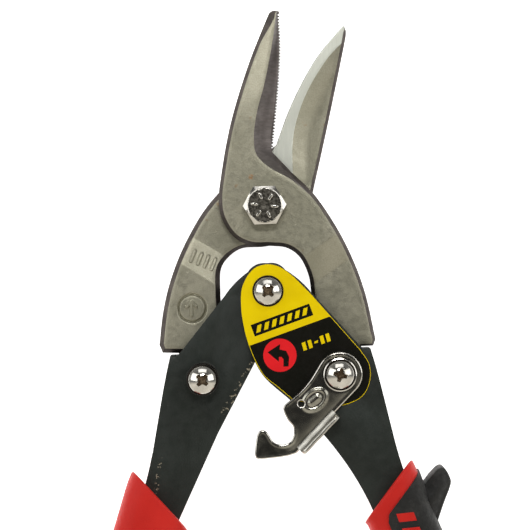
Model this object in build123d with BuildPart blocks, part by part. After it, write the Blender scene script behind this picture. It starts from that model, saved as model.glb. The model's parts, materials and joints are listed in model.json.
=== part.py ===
from build123d import *
from math import cos, radians, sin
import os

# Compound-action aviation snips, lying flat with the jaws open and the latch unhooked.
# +Z is up, +Y points to the jaw tips, the main pivot is the Z axis, and z = 0 is the surface
# that the tool lies on. All sizes are in millimetres.

os.makedirs("parts", exist_ok=True)

# ---- driving dimensions ------------------------------------------------------------------
shear_z = 12.0  # plane in which the two blades slide on each other
slide_gap = 0.05  # half of the play between the blades
blade_t = 5.5  # jaw and boss thickness of each forged blade
tang_half = 3.0  # half thickness of each blade's tang
plate = 2.1  # handle sheet thickness
left_gap = 3.15  # half of the left channel's inner width, round the tang
nest = 0.15  # play between the nested left and right flanges
right_gap = left_gap + plate + nest  # half of the right channel's inner width
left_top = left_gap + plate
right_top = right_gap + plate

pivot_x = 20.2  # handle pivots: left and right of the centre line
pivot_y = -50.5
centre_y = -25.2  # pivot that joins the two handles
main_pivot = (0.0, 0.0)
centre_pivot = (0.0, centre_y)
right_pivot = (pivot_x, pivot_y)
left_pivot = (-pivot_x, pivot_y)

barrel_r = 3.2
running = 0.05  # radial play of a joint
loop_play = 0.25  # radial play of the left flanges on the centre barrel
head_r = 4.6  # domed screw heads
flange_r = 4.9
head_h = 2.5
rim_h = 0.9  # straight side of a screw head
cross_l = 5.2  # cross recess
cross_w = 1.1
cross_d = 1.6
rivet_head_r = 4.8
rivet_head_h = 1.6
shank_r = 2.0

bolt_r = 3.95
bolt_flats = 11.1
bolt_head_h = 4.4
washer_r = 8.0
washer_t = 1.5
nut_t = 4.4
nut_flats = 12.7
nut_collar_r = 5.4
nut_collar_t = 1.2

wire_r = 0.8  # return spring
leg_x = 10.0  # each leg ends in a hole of its own handle's rear flange
leg_y = -42.0

label_t = 0.15
latch_t = 1.5
latch_lift = right_top + 0.35  # underside of the latch above the shear plane
tab_h = 5.6  # height of the thumb tab

grip_half = 12.0  # half thickness of both grips
grip_edge = 3.0  # bevel of the grips' long edges
guard_half = 8.0  # half thickness of the thumb guard
skin = 2.0  # rubber thickness over the core
fit = 0.05  # play between a channel and its moulded grip
shut_turn = 17.4  # each handle swings this far in from rest when the jaws are shut
shut_x = 11.8  # right pivot, measured from the tool's axis, when the jaws are shut
shut_y = -53.1

through = 40  # depth of holes that go right through
far = 70  # beyond either end of a blade


# ---- helpers -----------------------------------------------------------------------------
def at_rest(x, y):
    """Open-handle place of a right handle point given with the handles shut."""
    dx = x - shut_x
    dy = y - shut_y
    turn = radians(shut_turn)
    return (
        pivot_x + dx * cos(turn) - dy * sin(turn),
        pivot_y + dx * sin(turn) + dy * cos(turn),
    )


def shut(points):
    return [at_rest(x, y) for x, y in points]


def flip(points, side):
    return [(side * x, y) for x, y in points]


def level(height):
    """XY plane at a height above the shear plane."""
    return Plane.XY.offset(shear_z + height)


def save(piece, label):
    piece.part.label = label
    export_step(piece.part, f"parts/{label}.step")


def turned(profile, at):
    """Solid of revolution about a vertical axis; profile is (radius, height) above z = 0."""
    with BuildPart() as piece:
        with BuildSketch(Plane((at[0], at[1], 0), x_dir=(1, 0, 0), z_dir=(0, -1, 0))):
            with BuildLine():
                Polyline(*profile, close=True)
            make_face()
        revolve(axis=Axis((at[0], at[1], 0), (0, 0, 1)))
    return piece


def domed_screw(at, seat, flange_t, cross_angle, shank_end):
    """Domed cross-recess screw with its shank, seated at a height above the shear plane."""
    base = shear_z + seat
    under = base + flange_t
    crown = under + head_h
    rim = under + rim_h
    tip = shear_z + shank_end
    flange = [(flange_r, under), (flange_r, base)] if flange_t > 0 else []
    shank = [(shank_r, base), (shank_r, tip), (0, tip), (0, crown)]
    side = [(head_r, rim), (head_r, under)] + flange + shank
    with BuildPart() as screw:
        with BuildSketch(Plane((at[0], at[1], 0), x_dir=(1, 0, 0), z_dir=(0, -1, 0))):
            with BuildLine():
                Line((0, crown), (1.6, crown))
                Spline((1.6, crown), (3.5, crown - 0.6), (head_r, rim), tangents=[(1, 0), (0, -1)])
                Polyline(*side)
            make_face()
        revolve(axis=Axis((at[0], at[1], 0), (0, 0, 1)))
        with BuildSketch(Plane.XY.offset(crown)):
            with Locations(at):
                Rectangle(cross_l, cross_w, rotation=cross_angle)
                Rectangle(cross_w, cross_l, rotation=cross_angle)
        extrude(amount=-cross_d, taper=12, mode=Mode.SUBTRACT)
    return screw


# ---- front blade -------------------------------------------------------------------------
tang_r = 8.2
bore_r = barrel_r + running
ramp_angle = 57.4  # direction in which each arm leaves the boss, below the X axis
ramp_start = 18.9
ramp_end = 27.3
tip_front = (6.5, 57.5)
heel_front = (3.0, 15.7)

rear_ramp_start = ramp_start - 2  # the rear arm's underside starts its ramp earlier
rear_ramp_end = ramp_end - 4

front_cut = [heel_front, (3.4, 19.0), (4.6, 27.6), (5.8, 37.2), (6.6, 47.0), tip_front]
front_back = [
    (3.6, 56.3), (-3.4, 41.4), (-9.2, 24.4), (-12.5, 9.5), (-13.5, 2.5), (-12.9, -3.0),
    (-9.4, -8.9), (-4.7, -11.5), (1.9, -12.0), (6.1, -12.7),
]
front_ridge = [
    (7.3, 7.2), (1.6, 11.3), (-1.9, 15.3), (-2.4, 20.4), (-1.2, 27.6), (1.4, 36.2), (4.3, 49.0), (5.4, 57.9),
]
front_bevel_foot = [
    (12.5, 8.2), (8.0, 11.4), (3.9, 14.9), (3.2, 19.4), (4.4, 27.4), (5.6, 37.2), (6.4, 47.0), (6.5, 58.4),
]
bevel_low = 0.9  # height of the bevel's foot above the shear plane


def along_arm(side):
    """Vertical plane along an arm, with its x axis running out from the main pivot."""
    reach = radians(ramp_angle)
    return Plane(
        (0, 0, 0), x_dir=(side * cos(reach), -sin(reach), 0), z_dir=(-sin(reach), -side * cos(reach), 0)
    )


with BuildPart() as front_blade:
    with BuildSketch():
        with BuildLine():
            Spline(*front_cut)
            Polyline(tip_front, (5.3, 57.8), (3.6, 56.3))
            Spline(*front_back)
            Spline((6.1, -12.7), (9.7, -15.4), (12.3, -21.2), (12.9, -26.3))
            Polyline((12.9, -26.3), (13.0, -40.0), (pivot_x - tang_r, pivot_y))
            ThreePointArc((pivot_x - tang_r, pivot_y), (pivot_x, pivot_y - tang_r), (pivot_x + tang_r, pivot_y))
            Polyline((pivot_x + tang_r, pivot_y), (27.2, -46.4), (27.1, -42.7), (30.6, -42.7), (31.4, -40.8))
            Spline(
                (31.4, -40.8), (28.9, -27.2), (25.6, -16.9), (20.7, -6.6), (14.6, 3.0), (8.4, 9.6), heel_front
            )
        make_face()
    extrude(amount=shear_z + blade_t)
    # the arm steps down on its way to the tang
    with BuildSketch(along_arm(1)):
        with BuildLine():
            Polyline(
                (-far, shear_z + slide_gap), (ramp_start, shear_z + slide_gap),
                (ramp_end, shear_z - tang_half), (far, shear_z - tang_half),
                (far, shear_z + tang_half), (ramp_end, shear_z + tang_half),
                (ramp_start, shear_z + blade_t), (-far, shear_z + blade_t), close=True,
            )
        make_face()
    extrude(amount=80, both=True, mode=Mode.INTERSECT)
    # relief that slopes from the land down to the cutting edge
    with BuildSketch(level(blade_t)):
        with BuildLine():
            Spline(*front_ridge)
            Polyline((5.4, 57.9), (30, 60), (30, 7.2), (7.3, 7.2))
        make_face()
    with BuildSketch(level(bevel_low)):
        with BuildLine():
            Spline(*front_bevel_foot)
            Polyline((6.5, 58.4), (30, 60), (30, 8.2), (12.5, 8.2))
        make_face()
    loft(mode=Mode.SUBTRACT)
    with Locations((0, 0, shear_z)):
        Hole(bolt_r + running, depth=through)
    with Locations((pivot_x, pivot_y, shear_z)):
        Hole(bore_r, depth=through)
save(front_blade, "front_blade")

# ---- rear blade --------------------------------------------------------------------------
tip_rear = (25.2, 52.1)
heel_rear = (4.2, 18.0)
relief = 0.8  # depth of the hollow behind the ground strip

with BuildPart() as rear_blade:
    with BuildSketch():
        with BuildLine():
            Spline(heel_rear, (8.0, 27.3), (12.7, 36.3), (17.7, 43.9), tip_rear)
            Polyline(tip_rear, (26.0, 51.0), (25.5, 47.2))
            Spline(
                (25.5, 47.2), (22.5, 34.9), (18.9, 20.5), (14.5, 3.4), (12.6, -4.6), (7.4, -10.2),
                (0.0, -12.0), (-7.6, -12.4),
            )
            Spline((-7.6, -12.4), (-11.6, -15.0), (-13.7, -18.2), (-14.2, -26.3))
            Polyline((-14.2, -26.3), (-13.6, -40.0), (tang_r - pivot_x, pivot_y))
            ThreePointArc((tang_r - pivot_x, pivot_y), (-pivot_x, pivot_y - tang_r), (-pivot_x - tang_r, pivot_y))
            Polyline((-pivot_x - tang_r, pivot_y), (-27.2, -46.4), (-27.1, -42.7), (-31.9, -42.4), (-32.8, -40.0))
            Spline(
                (-32.8, -40.0), (-31.3, -30.2), (-28.9, -21.4), (-24.6, -11.3), (-18.8, -1.6), (-13.4, 4.6),
                (-3.2, 13.6), heel_rear,
            )
        make_face()
    extrude(amount=shear_z + tang_half)
    # the arm steps up on its way to the tang
    with BuildSketch(along_arm(-1)):
        with BuildLine():
            Polyline(
                (-far, shear_z - blade_t), (rear_ramp_start, shear_z - blade_t),
                (rear_ramp_end, shear_z - tang_half), (far, shear_z - tang_half),
                (far, shear_z + tang_half), (ramp_end, shear_z + tang_half),
                (ramp_start, shear_z - slide_gap), (-far, shear_z - slide_gap), close=True,
            )
        make_face()
    extrude(amount=80, both=True, mode=Mode.INTERSECT)
    # hollow relief behind the ground strip
    with BuildSketch(level(-slide_gap)):
        with BuildLine():
            Spline((9.6, 17.2), (11.8, 28.6), (16.6, 37.4), (23.4, 45.2))
            Polyline((23.4, 45.2), (24.0, 44.2))
            Spline((24.0, 44.2), (21.4, 34.4), (19.4, 26.6), (17.0, 17.0))
            Line((17.0, 17.0), (9.6, 17.2))
        make_face()
    extrude(amount=-relief, mode=Mode.SUBTRACT)
    with Locations((0, 0, shear_z)):
        Hole(bolt_r + running, depth=through)
    with Locations((-pivot_x, pivot_y, shear_z)):
        Hole(bore_r, depth=through)
save(rear_blade, "rear_blade")

# ---- main pivot --------------------------------------------------------------------------
head_base = shear_z + blade_t
washer_top = shear_z - blade_t
nut_top = washer_top - washer_t

with BuildPart() as pivot_bolt:
    with BuildSketch(Plane.XY.offset(head_base)):
        RegularPolygon(bolt_flats / 2, 6, major_radius=False)
    extrude(amount=bolt_head_h)
    chamfer(pivot_bolt.edges().group_by(Axis.Z)[-1], length=0.6)
    with BuildSketch(Plane.XY):
        Circle(bolt_r)
    extrude(amount=head_base)
    # six raised grade marks on the head
    with BuildSketch(Plane.XY.offset(head_base + bolt_head_h)):
        with PolarLocations(2.9, 6, start_angle=30):
            SlotOverall(1.9, 0.5)
    extrude(amount=0.25)
save(pivot_bolt, "pivot_bolt")

pivot_washer = turned(
    [(bolt_r + 0.1, nut_top), (washer_r, nut_top), (washer_r, washer_top), (bolt_r + 0.1, washer_top)],
    main_pivot,
)
save(pivot_washer, "pivot_washer")

with BuildPart() as pivot_lock_nut:
    with BuildSketch(Plane.XY.offset(nut_top)):
        RegularPolygon(nut_flats / 2, 6, major_radius=False)
    extrude(amount=nut_collar_t - nut_t)
    with BuildSketch(Plane.XY.offset(nut_top - nut_t + nut_collar_t)):
        Circle(nut_collar_r)
    extrude(amount=-nut_collar_t)
    with Locations((0, 0, nut_top)):
        Hole(bolt_r + 0.02, depth=20)
save(pivot_lock_nut, "pivot_lock_nut")

# ---- handle channels ---------------------------------------------------------------------
# The flanges share one top edge, hub lobe and outer side; only the inner edges differ.
hub_r = 8.2
top_edge = [(29.5, -43.2), (27.2, -43.2), (12.8, -26.2)]
outer_side = shut([(25.6, -168), (25.2, -150), (22.6, -120)]) + [(37.4, -77.7), (31.2, -49.8), (29.5, -43.2)]
channel_end = shut([(15.0, -168)])[0]
plain_inner = [(-7.4, -28.6), (4.7, -46.3), (16.3, -66.6), (28.5, -91.2)]
cover_inner = [
    (-8.0, -27.4), (-8.0, -32.2), (-6.1, -41.1), (-2.4, -50.0), (1.2, -53.8), (5.4, -57.6), (9.6, -62.0),
    (16.6, -70.4), (28.5, -91.2),
]
lower_inner = [(28.5, -91.2)] + shut([(11.0, -120), (14.5, -150), (15.0, -168)])


def channel(side, inner, gap, hub_hole):
    """Pressed U-channel: two flanges joined by a web along the outer side."""
    height = gap + plate
    web_in = plate / cos(radians(12))
    with BuildPart() as piece:
        with BuildSketch(level(-height)):
            with BuildLine():
                Spline(*flip(outer_side, side))
                Polyline(*flip(top_edge, side))
                Spline(*flip([(12.8, -26.2), (6.0, -19.6), (0.0, centre_y + hub_r), inner[0]], side))
                if len(inner) > 4:
                    Spline(*flip(inner, side))
                else:
                    Polyline(*flip(inner, side))
                Spline(*flip(lower_inner, side))
                Line(*flip([channel_end, outer_side[0]], side))
            make_face()
        extrude(amount=2 * height)
        with BuildSketch(level(-gap)):
            with BuildLine():
                within = [(x - web_in, y) for x, y in outer_side]
                Spline(*flip(within, side))
                Polyline(*flip([within[-1], (within[-1][0], 0), (-40, 0), (-40, -200), within[0]], side))
            make_face()
        extrude(amount=2 * gap, mode=Mode.SUBTRACT)
        with Locations((side * pivot_x, pivot_y, shear_z)):
            Hole(barrel_r + 0.02, depth=through)
        with Locations((0, centre_y, shear_z)):
            Hole(hub_hole, depth=through)
        # hole in the rear flange for the return spring's leg
        with BuildSketch(level(-height)):
            with Locations((side * leg_x, leg_y)):
                Circle(wire_r + 0.15)
        extrude(amount=plate, mode=Mode.SUBTRACT)
    return piece


right_handle_channel = channel(1, cover_inner, right_gap, barrel_r + 0.02)
save(right_handle_channel, "right_handle_channel")

left_handle_channel = channel(-1, plain_inner, left_gap, barrel_r + loop_play)
save(left_handle_channel, "left_handle_channel")


# ---- handle pivots -----------------------------------------------------------------------
def barrel(at, foot, top, depth):
    """Headed sleeve pushed up through the handle and bored for its screw."""
    low = shear_z + foot - rivet_head_h
    base = shear_z + foot
    bore = shank_r + 0.05
    floor = shear_z + depth - 0.3
    profile = [
        (0, low), (rivet_head_r - 0.7, low), (rivet_head_r, low + 0.7), (rivet_head_r, base),
        (barrel_r, base), (barrel_r, shear_z + top), (bore, shear_z + top), (bore, floor), (0, floor),
    ]
    return turned(profile, at)


latch_top = latch_lift + latch_t
wave_t = 0.5
right_pivot_barrel = barrel(right_pivot, -right_top, latch_top + 0.05, 0)
save(right_pivot_barrel, "right_pivot_barrel")

right_pivot_screw = domed_screw(right_pivot, latch_top + 0.1 + wave_t, 0.6, -15, 0)
save(right_pivot_screw, "right_pivot_screw")

spacer_r = 7.5
spacer_t = right_gap - tang_half - 0.1
with BuildPart() as right_pivot_spacers:
    for base in (tang_half + 0.05, -tang_half - 0.05 - spacer_t):
        with BuildSketch(level(base)):
            with Locations(right_pivot):
                Circle(spacer_r)
                Circle(barrel_r + 0.1, mode=Mode.SUBTRACT)
        extrude(amount=spacer_t)
save(right_pivot_spacers, "right_pivot_spacers")

wave_base = shear_z + latch_top + 0.08
wave_in = barrel_r + 0.3
wave_out = flange_r - 0.2
latch_spring_washer = turned(
    [(wave_in, wave_base), (wave_out, wave_base), (wave_out, wave_base + wave_t), (wave_in, wave_base + wave_t)],
    right_pivot,
)
save(latch_spring_washer, "latch_spring_washer")

centre_pivot_barrel = barrel(centre_pivot, -right_top, right_top, 0)
save(centre_pivot_barrel, "centre_pivot_barrel")

centre_pivot_screw = domed_screw(centre_pivot, right_top + label_t + 0.02, 0, 45, 0)
save(centre_pivot_screw, "centre_pivot_screw")

left_pivot_barrel = barrel(left_pivot, -left_top, left_top, -2)
save(left_pivot_barrel, "left_pivot_barrel")

# stand-off collar that the hook catches
post_r = 2.9
post_foot = left_top + 0.7
post_top = latch_top + 0.35
post_bore = shank_r + 0.05
post_base = left_top + 0.02
latch_post = turned(
    [
        (post_bore, shear_z + post_base), (flange_r, shear_z + post_base), (flange_r, shear_z + post_foot),
        (post_r, shear_z + post_foot), (post_r, shear_z + post_top), (post_bore, shear_z + post_top),
    ],
    left_pivot,
)
save(latch_post, "latch_post")

left_pivot_screw = domed_screw(left_pivot, post_top + 0.02, 0, 47, -2)
save(left_pivot_screw, "left_pivot_screw")

# ---- label on the cover flange -----------------------------------------------------------
with BuildPart() as cut_label:
    with BuildSketch(level(right_top)):
        with BuildLine():
            Spline(
                (12.5, -26.4), (6.4, -20.2), (0.0, -17.6), (-5.4, -21.2), (-7.5, -27.6), (-7.5, -32.2),
                (-5.6, -41.1), (-1.9, -49.7), (1.7, -53.5), (6.0, -57.4),
            )
            Spline(
                (6.0, -57.4), (13.0, -59.2), (20.0, -59.8), (26.6, -57.2), (29.0, -52.7), (29.0, -47.8),
                (26.6, -43.6),
            )
            Line((26.6, -43.6), (12.5, -26.4))
        make_face()
        with Locations(centre_pivot, right_pivot):
            Circle(barrel_r + 0.2, mode=Mode.SUBTRACT)
    extrude(amount=label_t)
save(cut_label, "cut_label")

# ---- return spring round the centre barrel -----------------------------------------------
coil_r = 4.4
coil_low = -2.2
coil_turns = 2.5
coil_pitch = 1.76
coil_top = coil_low + coil_turns * coil_pitch
with BuildPart() as return_spring:
    with BuildLine(Plane((0, centre_y, shear_z + coil_low))) as coil:
        Helix(pitch=coil_pitch, height=coil_pitch * coil_turns, radius=coil_r)
    with BuildSketch(Plane(coil.line @ 0, z_dir=coil.line % 0)):
        Circle(wire_r)
    sweep(path=coil.line)
    for side, high, low in ((1, coil_low, -right_gap - 1.8), (-1, coil_top, -left_gap - 1.8)):
        z_top = shear_z + high
        with BuildLine() as leg:
            Polyline(
                (side * coil_r, centre_y + 0.8, z_top), (side * coil_r, centre_y - 4.0, z_top),
                (side * leg_x, leg_y, z_top), (side * leg_x, leg_y, shear_z + low),
            )
        with BuildSketch(Plane(leg.line @ 0, z_dir=leg.line % 0)):
            Circle(wire_r - 0.04)
        sweep(path=leg.line, transition=Transition.ROUND)
save(return_spring, "return_spring")

# ---- latch -------------------------------------------------------------------------------
boss_r = 6.6
with BuildPart() as latch_hook:
    with BuildSketch(level(latch_lift)):
        with BuildLine():
            ThreePointArc((24.9, -55.1), (pivot_x, pivot_y + boss_r), (14.6, -47.0))
            Spline(
                (14.6, -47.0), (11.3, -51.9), (5.0, -57.7), (3.1, -59.8), (4.4, -63.3), (5.9, -65.3),
                (6.0, -67.6),
            )
            ThreePointArc((6.0, -67.6), (2.4, -70.4), (-1.2, -67.6))
            Spline((-1.2, -67.6), (-3.2, -66.0), (-4.5, -66.7), (-5.4, -70.4), (-5.6, -73.0), (-4.2, -74.4))
            Spline((-4.2, -74.4), (0.3, -74.2), (6.5, -73.2))
            Line((6.5, -73.2), (24.9, -55.1))
        make_face()
        with Locations(right_pivot):
            Circle(bore_r, mode=Mode.SUBTRACT)
        with Locations((8.5, -58.6)):
            Circle(0.9, mode=Mode.SUBTRACT)
    extrude(amount=latch_t)
    # thumb tab turned up along the lower edge
    with BuildSketch(level(latch_lift)):
        with BuildLine():
            Polyline((18.9, -61.0), (19.9, -62.6), (9.0, -73.3), (6.5, -73.2), close=True)
        make_face()
    extrude(amount=tab_h)
    # raised oval that stiffens the hook
    with BuildSketch(level(latch_top)):
        with Locations((12.3, -57.8)):
            Ellipse(3.9, 1.5, rotation=35)
    extrude(amount=0.7, taper=30)
save(latch_hook, "latch_hook")

# ---- grips -------------------------------------------------------------------------------
grip_tall = 2 * grip_half
grip_inner = shut([(4.2, -96.5), (5.4, -110), (8.6, -130), (9.8, -150), (8.8, -170), (8.6, -182)])
grip_outer = shut([(27.0, -182), (29.6, -168), (30.0, -148), (27.4, -127), (24.4, -106), (23.6, -88.0)])
grip_tip = shut([(17.6, -191.8)])[0]
mouth_outer = (41.6, -77.4)
mouth_inner = (26.6, -93.2)
socket_end = -168.4  # just past the channel's end, with the handles shut
core_inner = [(27.6, -95.0)] + shut([(8.0, -112), (10.8, -130), (12.0, -150), (11.4, -166), (12.0, -181)])
core_tip = shut([(18.0, -188.5)])[0]
core_outer = shut([(24.2, -181), (27.2, -166), (27.8, -148), (25.2, -127), (22.2, -108)]) + [(39.6, -80.5)]


def grip_solid(side):
    """Full-size grip with bevelled long edges."""
    with BuildPart() as piece:
        with BuildSketch(level(-grip_half)):
            with BuildLine():
                Spline(*flip([mouth_inner] + grip_inner, side))
                ThreePointArc(*flip([grip_inner[-1], grip_tip, grip_outer[0]], side))
                Spline(*flip(grip_outer + [mouth_outer], side))
                Line(*flip([mouth_outer, mouth_inner], side))
            make_face()
        extrude(amount=grip_tall)
        layers = piece.edges().group_by(Axis.Z)
        chamfer(layers[0] + layers[-1], length=grip_edge)
    return piece.part


def core_solid(side):
    """Reduced core that the rubber is moulded round."""
    with BuildPart() as piece:
        with BuildSketch(level(skin - grip_half)):
            with BuildLine():
                Spline(*flip(core_inner, side))
                ThreePointArc(*flip([core_inner[-1], core_tip, core_outer[0]], side))
                Spline(*flip(core_outer, side))
                Line(*flip([core_outer[-1], core_inner[0]], side))
            make_face()
        extrude(amount=grip_tall - 2 * skin)
    return piece.part


def socket(side, top):
    """Space that the handle channel fills, through the mouth of the grip."""
    outer = [(x + fit, y) for x, y in outer_side]
    inner = [(x - fit, y) for x, y in lower_inner]
    bottom = shut([(15.0, socket_end), (25.6, socket_end)])
    with BuildPart() as piece:
        with BuildSketch(level(-top - fit)):
            with BuildLine():
                Spline(*flip(outer, side))
                Polyline(*flip([outer[-1], (0.0, outer[-1][1]), (10.0, -80.0), (26.0, -92.0), inner[0]], side))
                Spline(*flip(inner, side))
                Polyline(*flip([inner[-1]] + bottom + [outer[0]], side))
            make_face()
        extrude(amount=2 * (top + fit))
    return piece.part


def block(points, side):
    """Full-height block over a plan region."""
    with BuildPart() as piece:
        with BuildSketch(level(-grip_half)):
            with BuildLine():
                Polyline(*flip(points, side), close=True)
            make_face()
        extrude(amount=grip_tall)
    return piece.part


collar_line = [(44.0, -78.6), (32.4, -92.0), (34.5, -98.0), (24.0, -104.0)]
with BuildPart() as right_grip_core:
    add(grip_solid(1))
    add(block(collar_line + [(40, -200), (120, -200), (80, -78.6)], 1), mode=Mode.SUBTRACT)
    add(core_solid(1))
    add(socket(1, right_top), mode=Mode.SUBTRACT)
save(right_grip_core, "right_grip_core")

with BuildPart() as right_grip_overmould:
    add(grip_solid(1))
    add(block(collar_line + [(10, -90), (20, -60), (44, -60)], 1), mode=Mode.SUBTRACT)
    # thumb guard on the outer side
    with BuildSketch(level(-guard_half)):
        with BuildLine():
            Spline((43.0, -85.0), (46.2, -81.6), (49.6, -79.2), (51.8, -83.6), (49.6, -89.6), (47.2, -96.0))
            Polyline((47.2, -96.0), (42.0, -96.0), (43.0, -85.0))
        make_face()
    extrude(amount=2 * guard_half)
    add(core_solid(1), mode=Mode.SUBTRACT)
    add(socket(1, right_top), mode=Mode.SUBTRACT)
save(right_grip_overmould, "right_grip_overmould")

inlay = [(70, -97.0), (38.0, -97.0), (43.0, -120.0), (60.0, -165.0), (100, -165)]
around_inlay = inlay[:4] + [(100, -165), (100, -200), (20, -200), (0, -60), (70, -60)]
with BuildPart() as left_grip_core:
    add(grip_solid(-1))
    add(block(inlay, -1), mode=Mode.SUBTRACT)
    add(core_solid(-1))
    add(socket(-1, left_top), mode=Mode.SUBTRACT)
save(left_grip_core, "left_grip_core")

with BuildPart() as left_grip_overmould:
    add(grip_solid(-1))
    add(block(around_inlay, -1), mode=Mode.SUBTRACT)
    add(core_solid(-1), mode=Mode.SUBTRACT)
    add(socket(-1, left_top), mode=Mode.SUBTRACT)
save(left_grip_overmould, "left_grip_overmould")
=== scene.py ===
import bpy
import bmesh
import json
import math
import numpy as np
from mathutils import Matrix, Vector
from mathutils.geometry import delaunay_2d_cdt


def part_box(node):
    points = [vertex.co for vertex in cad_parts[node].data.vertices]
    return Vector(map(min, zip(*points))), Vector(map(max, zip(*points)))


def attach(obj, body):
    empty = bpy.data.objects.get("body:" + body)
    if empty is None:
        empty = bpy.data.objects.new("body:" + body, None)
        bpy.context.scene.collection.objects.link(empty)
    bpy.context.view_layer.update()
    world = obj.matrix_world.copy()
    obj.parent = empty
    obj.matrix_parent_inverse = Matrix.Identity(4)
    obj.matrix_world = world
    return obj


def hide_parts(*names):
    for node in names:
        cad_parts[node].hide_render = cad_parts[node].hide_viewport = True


# Aviation snips lying flat with the jaws open. Outlines are in millimetres in the frame's own
# axes: +Y to the jaw tips, +Z up, the main pivot on the Z axis. Heights come from the frame.

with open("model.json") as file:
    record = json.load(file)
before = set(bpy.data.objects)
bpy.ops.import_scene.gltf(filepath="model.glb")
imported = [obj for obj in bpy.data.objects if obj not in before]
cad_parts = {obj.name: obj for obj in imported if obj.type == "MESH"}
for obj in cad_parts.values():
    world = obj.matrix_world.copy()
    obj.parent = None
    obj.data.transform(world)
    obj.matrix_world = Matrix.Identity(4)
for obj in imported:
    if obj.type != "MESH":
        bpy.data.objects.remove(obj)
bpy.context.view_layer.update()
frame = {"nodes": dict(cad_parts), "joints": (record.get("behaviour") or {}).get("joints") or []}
nodes = frame["nodes"]
MM = 0.001


# ---- places taken from the frame -----------------------------------------------------------
def joint_place(name):
    joint = next(j for j in frame["joints"] if j["name"] == name)
    return np.array(joint["pos_m"]) / MM


def low(node, axis=2):
    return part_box(node)[0][axis] / MM


def high(node, axis=2):
    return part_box(node)[1][axis] / MM


LENS = np.array([-0.56, -17.54])  # the camera looks straight down on this place
MAIN = np.array([0.0, 0.0])
SHEAR = joint_place("main_pivot")[2]
RIGHT = joint_place("right_handle_pivot")[:2]
LEFT = joint_place("left_handle_pivot")[:2]
CENTRE = np.array([(low("centre_pivot_screw", k) + high("centre_pivot_screw", k)) / 2 for k in (0, 1)])
BLADE_TOP = high("front_blade")
BLADE_BOTTOM = low("rear_blade")
TANG_TOP = high("rear_blade")
TANG_BOTTOM = low("front_blade")
LATCH_BOTTOM = low("latch_hook")
LATCH_TALL = high("latch_hook")
GRIP_LOW = low("right_grip_overmould")
GRIP_HIGH = high("right_grip_overmould")


# ---- outlines --------------------------------------------------------------------------------
def smooth(points, step=0.6):
    """Points about `step` apart along a smooth curve through the given ones."""
    p = [np.array(q, float) for q in points]
    p = [2 * p[0] - p[1]] + p + [2 * p[-1] - p[-2]]
    out = []
    for a, b, c, d in zip(p, p[1:], p[2:], p[3:]):
        k1, k2, k3 = (np.linalg.norm(v) ** 0.5 for v in (b - a, c - b, d - c))
        m1 = (c - b) + k2 * ((b - a) / k1 - (c - a) / (k1 + k2))
        m2 = (c - b) + k2 * ((d - c) / k3 - (d - b) / (k2 + k3))
        n = max(1, round(np.linalg.norm(c - b) / step))
        for t in np.arange(n) / n:
            ends = (2 * t**3 - 3 * t**2 + 1) * b + (3 * t**2 - 2 * t**3) * c
            out.append(ends + (t**3 - 2 * t**2 + t) * m1 + (t**3 - t**2) * m2)
    return np.array(out + [p[-2]])


def in_turned_axes(points, degrees):
    """Plan points seen in axes turned counter-clockwise."""
    c, s = math.cos(math.radians(degrees)), math.sin(math.radians(degrees))
    return points[:, 0] * c + points[:, 1] * s, -points[:, 0] * s + points[:, 1] * c


def lengths(rows):
    return np.linalg.norm(rows, axis=1)


def line(*points, step=0.6):
    out = []
    for a, b in zip(points, points[1:]):
        a, b = np.array(a, float), np.array(b, float)
        n = max(1, round(np.linalg.norm(b - a) / step))
        out += [a + (b - a) * i / n for i in range(n)]
    return np.array(out + [np.array(points[-1], float)])


def arc(centre, radius, start, end, step=0.5):
    n = max(4, round(abs(math.radians(end - start)) * radius / step))
    turn = np.radians(np.linspace(start, end, n + 1))
    return np.array(centre) + radius * np.stack([np.cos(turn), np.sin(turn)], 1)


def circle(centre, radius, step=0.4):
    return arc(centre, radius, 0, 360, step)[:-1]


def box(centre, length, width, turn, lean=0.0):
    """Corners of a turned rectangle or parallelogram."""
    c, s = math.cos(math.radians(turn)), math.sin(math.radians(turn))
    corners = [(-1, -1), (1, -1), (1, 1), (-1, 1)]
    flat = [(a * length / 2 + b * lean, b * width / 2) for a, b in corners]
    return np.array([(centre[0] + u * c - v * s, centre[1] + u * s + v * c) for u, v in flat])


def ring(loop, step=0.6):
    """A closed loop of corners as a polyline that ends where it starts."""
    return line(*loop, loop[0], step=step)


def closed(*runs):
    """Runs joined end to end into one counter-clockwise loop."""
    loop = []
    for p in np.vstack(runs):
        if not loop or np.linalg.norm(p - loop[-1]) > 0.05:
            loop.append(p)
    if np.linalg.norm(loop[0] - loop[-1]) <= 0.05:
        loop.pop()
    loop = np.array(loop)
    x, y = loop.T
    area = np.sum(x * np.roll(y, -1) - np.roll(x, -1) * y)
    return loop if area > 0 else loop[::-1].copy()


def inset(loop, by):
    """A counter-clockwise loop moved inwards, by one amount or one for each point."""
    ahead = np.roll(loop, -1, 0) - loop
    back = loop - np.roll(loop, 1, 0)
    ahead /= lengths(ahead)[:, None]
    back /= lengths(back)[:, None]
    middle = np.stack([-(ahead + back)[:, 1], (ahead + back)[:, 0]], 1)
    size = np.maximum(lengths(middle), 0.3)
    reach = np.minimum(2 / size, 1.5) * by
    return loop + middle / size[:, None] * reach[:, None]


def inside(points, loop):
    x, y = np.asarray(points, float).T
    hit = np.zeros(len(x), bool)
    for (x1, y1), (x2, y2) in zip(loop, np.roll(loop, -1, 0)):
        if y1 != y2:
            hit ^= ((y1 > y) != (y2 > y)) & (x < (x2 - x1) * (y - y1) / (y2 - y1) + x1)
    return hit


def away(points, run):
    """Distance of each point from a polyline."""
    points = np.asarray(points, float)
    best = np.full(len(points), 1e9)
    for a, b in zip(run, run[1:]):
        d = b - a
        t = np.clip(((points - a) @ d) / max(d @ d, 1e-9), 0, 1)
        best = np.minimum(best, lengths(points - (a + t[:, None] * d)))
    return best


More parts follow.
